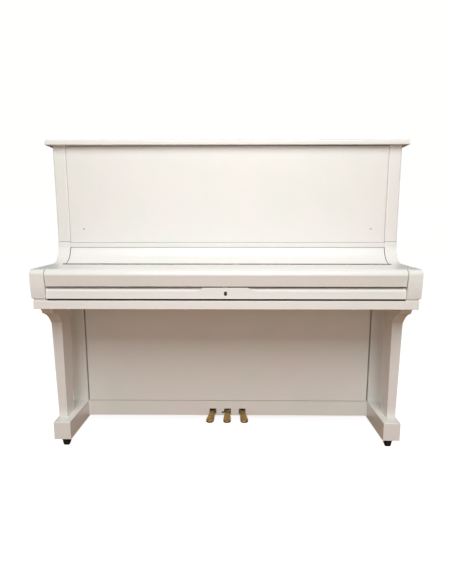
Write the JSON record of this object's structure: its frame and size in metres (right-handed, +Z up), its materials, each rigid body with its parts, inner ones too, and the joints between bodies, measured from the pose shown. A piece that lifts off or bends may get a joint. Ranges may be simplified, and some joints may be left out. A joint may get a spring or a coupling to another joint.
{
  "type": "upright piano",
  "caption": "Cream upright piano with a plain upper panel, closed fallboard, straight tapered legs on toe blocks with casters, brass pedals and a full inner action.",
  "frame": {"origin": "on the floor, under the middle of the piano's bounding box", "axes": "+X towards the treble end, -Y towards the player, +Z up"},
  "size_m": [1.52, 0.65, 1.31],
  "materials": {
    "cream_polish": "polished cream lacquer over wood",
    "plain_wood": "bare beech and spruce, satin",
    "spruce": "varnished spruce",
    "brass": "polished, slightly dulled",
    "gilt_iron": "bronze-lacquered iron",
    "black_iron": "black painted steel",
    "action_metal": "satin",
    "pin_steel": "nickel and blued steel",
    "copper_wire": "copper-wound strings",
    "music_wire": "bright steel wire",
    "key_white": "gloss white key tops",
    "key_black": "satin black",
    "hammer_felt": "dense wool felt on wood",
    "red_felt": "felt over wood",
    "green_felt": "felt curtain on a wood bar",
    "caster_black": "black wheel"
  },
  "bodies": {
    "case": {"side_left": "cream_polish", "side_right": "cream_polish", "arm_left": "cream_polish", "arm_right": "cream_polish", "lid_rear": "cream_polish", "lid_hinge": "brass", "panel_ledge": "cream_polish", "cove_rail": "cream_polish", "fallboard_hinge": "brass", "key_slip": "cream_polish", "key_bed": "cream_polish", "leg_left": "cream_polish", "leg_right": "cream_polish", "toe_left": "cream_polish", "toe_right": "cream_polish", "kick_rail": "cream_polish", "bottom_board": "plain_wood", "back_frame": "plain_wood", "soundboard": "spruce", "iron_plate": "gilt_iron", "tuning_pins": "pin_steel", "strings_bass": "copper_wire", "strings_treble": "music_wire", "key_frame": "plain_wood", "action_frame": "action_metal", "pedal_bracket": "action_metal", "rear_casters": "black_iron"},
    "lid": {"lid_front": "cream_polish", "lid_hinge_leaf": "brass"},
    "fallboard": {"fallboard": "cream_polish", "fallboard_hinge_leaf": "brass"},
    "upper_panel": {"upper_panel": "cream_polish"},
    "lower_panel": {"lower_panel": "cream_polish"},
    "keys": {"white_keys": "key_white", "black_keys": "key_black"},
    "middle_c_key": {"middle_c_key": "key_white"},
    "wippens": {"wippens": "plain_wood"},
    "middle_c_wippen": {"middle_c_wippen": "plain_wood"},
    "hammers": {"hammers": "hammer_felt"},
    "middle_c_hammer": {"middle_c_hammer": "hammer_felt"},
    "hammer_rail": {"hammer_rail": "red_felt"},
    "dampers": {"dampers": "hammer_felt"},
    "muffler_rail": {"muffler_rail": "green_felt"},
    "pedal_left": {"pedal_left": "brass"},
    "pedal_middle": {"pedal_middle": "brass"},
    "pedal_right": {"pedal_right": "brass"},
    "trap_left": {"trap_left": "plain_wood"},
    "trap_middle": {"trap_middle": "plain_wood"},
    "trap_right": {"trap_right": "plain_wood"},
    "rod_left": {"rod_left": "plain_wood"},
    "rod_middle": {"rod_middle": "plain_wood"},
    "rod_right": {"rod_right": "plain_wood"},
    "caster_left": {"caster_left": "black_iron"},
    "caster_right": {"caster_right": "black_iron"},
    "wheel_left": {"wheel_left": "caster_black"},
    "wheel_right": {"wheel_right": "caster_black"},
    "rear_wheel_left": {"rear_wheel_left": "caster_black"},
    "rear_wheel_right": {"rear_wheel_right": "caster_black"},
    "lock_plug": {"lock_plug": "black_iron"},
    "lock_bolt": {"lock_bolt": "brass"}
  },
  "joints": [
    {"name": "lid_fold", "type": "hinge", "parent": "case", "child": "lid", "pos_m": [0, 0.0955, 1.308], "axis": [-1, 0, 0], "range_deg": [0, 180]},
    {"name": "fallboard_open", "type": "hinge", "parent": "case", "child": "fallboard", "pos_m": [0, -0.1385, 0.795], "axis": [-1, 0, 0], "range_deg": [0, 112]},
    {"name": "upper_panel_tilt", "type": "hinge", "parent": "case", "child": "upper_panel", "pos_m": [0, -0.0345, 0.881], "axis": [1, 0, 0], "range_deg": [0, 12]},
    {"name": "lower_panel_tilt", "type": "hinge", "parent": "case", "child": "lower_panel", "pos_m": [0, 0.027, 0.128], "axis": [1, 0, 0], "range_deg": [0, 20]},
    {"name": "keys_press", "type": "hinge", "parent": "case", "child": "keys", "pos_m": [0, -0.065, 0.716], "axis": [1, 0, 0], "range_deg": [0, 2.57], "stiffness_Nm_per_rad": 30, "springref_deg": -14.32},
    {"name": "middle_c_press", "type": "hinge", "parent": "case", "child": "middle_c_key", "pos_m": [0, -0.065, 0.716], "axis": [1, 0, 0], "range_deg": [0, 2.57], "stiffness_Nm_per_rad": 0.4, "springref_deg": -14.32},
    {"name": "wippens_lift", "type": "hinge", "parent": "case", "child": "wippens", "pos_m": [0, 0.15, 0.775], "axis": [1, 0, 0], "range_deg": [-5, 0]},
    {"name": "middle_c_wippen_lift", "type": "hinge", "parent": "case", "child": "middle_c_wippen", "pos_m": [0, 0.15, 0.775], "axis": [1, 0, 0], "range_deg": [-5, 0]},
    {"name": "hammers_throw", "type": "hinge", "parent": "hammer_rail", "child": "hammers", "pos_m": [0, 0.128, 0.835], "axis": [1, 0, 0], "range_deg": [-12, 0]},
    {"name": "middle_c_hammer_throw", "type": "hinge", "parent": "hammer_rail", "child": "middle_c_hammer", "pos_m": [0, 0.128, 0.835], "axis": [1, 0, 0], "range_deg": [-12, 0]},
    {"name": "pedal_left_press", "type": "hinge", "parent": "case", "child": "pedal_left", "pos_m": [-0.07, 0.062, 0.074], "axis": [1, 0, 0], "range_deg": [0, 6.2], "stiffness_Nm_per_rad": 20, "springref_deg": -17.19},
    {"name": "pedal_middle_press", "type": "hinge", "parent": "case", "child": "pedal_middle", "pos_m": [0, 0.062, 0.074], "axis": [1, 0, 0], "range_deg": [0, 6.2], "stiffness_Nm_per_rad": 20, "springref_deg": -17.19},
    {"name": "pedal_right_press", "type": "hinge", "parent": "case", "child": "pedal_right", "pos_m": [0.07, 0.062, 0.074], "axis": [1, 0, 0], "range_deg": [0, 6.2], "stiffness_Nm_per_rad": 20, "springref_deg": -17.19},
    {"name": "hammer_rail_lift", "type": "hinge", "parent": "case", "child": "hammer_rail", "pos_m": [0, 0.128, 0.835], "axis": [1, 0, 0], "range_deg": [-5.5, 0]},
    {"name": "muffler_drop", "type": "slide", "parent": "case", "child": "muffler_rail", "axis": [0, 0, -1], "range_m": [0, 0.036]},
    {"name": "dampers_lift", "type": "hinge", "parent": "case", "child": "dampers", "pos_m": [0, 0.168, 0.8], "axis": [1, 0, 0], "range_deg": [0, 4]},
    {"name": "trap_left_lift", "type": "hinge", "parent": "case", "child": "trap_left", "pos_m": [0.52, 0.112, 0.141], "axis": [0, 1, 0], "range_deg": [0, 0.546]},
    {"name": "rod_left_lift", "type": "slide", "parent": "case", "child": "rod_left", "axis": [0, 0, 1], "range_m": [0, 0.01096]},
    {"name": "trap_middle_lift", "type": "hinge", "parent": "case", "child": "trap_middle", "pos_m": [0.52, 0.134, 0.141], "axis": [0, 1, 0], "range_deg": [0, 0.886]},
    {"name": "rod_middle_lift", "type": "slide", "parent": "case", "child": "rod_middle", "axis": [0, 0, 1], "range_m": [0, 0.01813]},
    {"name": "trap_right_lift", "type": "hinge", "parent": "case", "child": "trap_right", "pos_m": [0.52, 0.156, 0.141], "axis": [0, 1, 0], "range_deg": [0, 1.33]},
    {"name": "rod_right_lift", "type": "slide", "parent": "case", "child": "rod_right", "axis": [0, 0, 1], "range_m": [0, 0.02771]},
    {"name": "caster_left_swivel", "type": "hinge", "parent": "case", "child": "caster_left", "pos_m": [-0.704, -0.168, 0.045], "axis": [0, 0, 1], "continuous": true},
    {"name": "wheel_left_roll", "type": "hinge", "parent": "caster_left", "child": "wheel_left", "pos_m": [-0.704, -0.156, 0.019], "axis": [1, 0, 0], "continuous": true},
    {"name": "rear_wheel_left_roll", "type": "hinge", "parent": "case", "child": "rear_wheel_left", "pos_m": [-0.704, 0.28, 0.019], "axis": [0, 1, 0], "continuous": true},
    {"name": "caster_right_swivel", "type": "hinge", "parent": "case", "child": "caster_right", "pos_m": [0.704, -0.168, 0.045], "axis": [0, 0, 1], "continuous": true},
    {"name": "wheel_right_roll", "type": "hinge", "parent": "caster_right", "child": "wheel_right", "pos_m": [0.704, -0.156, 0.019], "axis": [1, 0, 0], "continuous": true},
    {"name": "rear_wheel_right_roll", "type": "hinge", "parent": "case", "child": "rear_wheel_right", "pos_m": [0.704, 0.28, 0.019], "axis": [0, 1, 0], "continuous": true},
    {"name": "lock_turn", "type": "hinge", "parent": "case", "child": "lock_plug", "pos_m": [0, -0.31, 0.6985], "axis": [0, 1, 0], "range_deg": [0, 110]},
    {"name": "lock_bolt_throw", "type": "slide", "parent": "case", "child": "lock_bolt", "axis": [0, 0, 1], "range_m": [0, 0.01]}
  ],
  "couplings": [
    {"joint": "wippens_lift", "follows": "keys_press", "ratio": -1.756},
    {"joint": "hammers_throw", "follows": "keys_press", "ratio": -4.3},
    {"joint": "middle_c_wippen_lift", "follows": "middle_c_press", "ratio": -1.756},
    {"joint": "middle_c_hammer_throw", "follows": "middle_c_press", "ratio": -4.3},
    {"joint": "hammer_rail_lift", "follows": "pedal_left_press", "ratio": -0.84},
    {"joint": "muffler_drop", "follows": "pedal_middle_press", "m_per_rad": 0.3234},
    {"joint": "dampers_lift", "follows": "pedal_right_press", "ratio": 0.56},
    {"joint": "lock_turn", "follows": "lock_bolt_throw", "rad_per_m": 157.08},
    {"joint": "trap_left_lift", "follows": "pedal_left_press", "ratio": 0.0847},
    {"joint": "rod_left_lift", "follows": "pedal_left_press", "m_per_rad": 0.09843},
    {"joint": "trap_middle_lift", "follows": "pedal_middle_press", "ratio": 0.1385},
    {"joint": "rod_middle_lift", "follows": "pedal_middle_press", "m_per_rad": 0.16332},
    {"joint": "trap_right_lift", "follows": "pedal_right_press", "ratio": 0.2089},
    {"joint": "rod_right_lift", "follows": "pedal_right_press", "m_per_rad": 0.25014}
  ]
}
